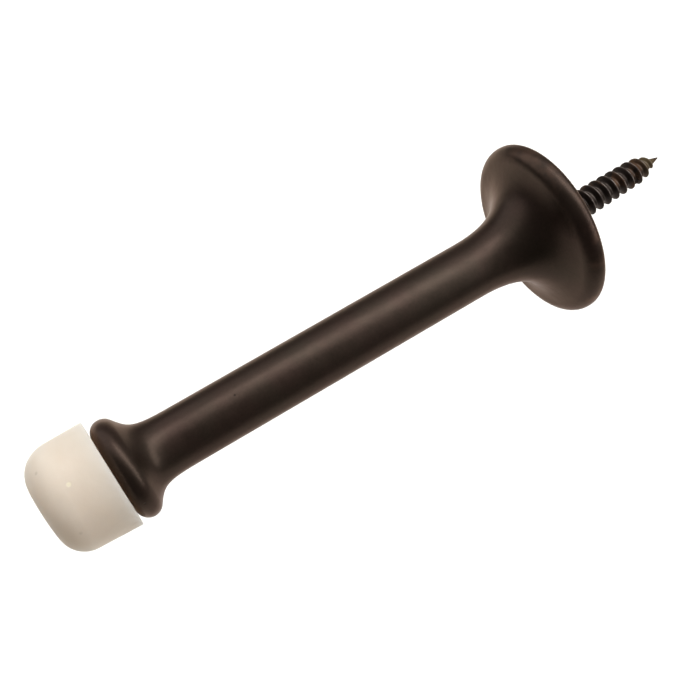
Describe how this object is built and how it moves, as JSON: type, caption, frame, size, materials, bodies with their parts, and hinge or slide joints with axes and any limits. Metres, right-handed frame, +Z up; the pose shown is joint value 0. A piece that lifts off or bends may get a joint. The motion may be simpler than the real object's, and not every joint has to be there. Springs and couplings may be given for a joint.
{
  "type": "wall door stop",
  "caption": "Rigid door stop with a trumpet-shaped base, a straight round shaft, a push-fit rubber tip and a wood screw; it screws sideways into a skirting board to stop a door.",
  "frame": {"origin": "on the wall plane, on the axis, where the screw leaves the back of the base", "axes": "+Y along the axis into the wall, the stop stands out to -Y, +Z up"},
  "size_m": [0.0254, 0.0982, 0.0254],
  "materials": {
    "body_paint": "satin dark bronze paint",
    "tip_rubber": "off-white, satin",
    "screw_metal": "blackened steel, worn at the point"
  },
  "bodies": {
    "stop_body": {"stop_body": "body_paint", "hanger_screw": "screw_metal"},
    "rubber_tip": {"rubber_tip": "tip_rubber"}
  },
  "joints": [
    {"name": "tip_pull", "type": "slide", "parent": "stop_body", "child": "rubber_tip", "axis": [0, -1, 0], "range_m": [0, 0.012]}
  ]
}
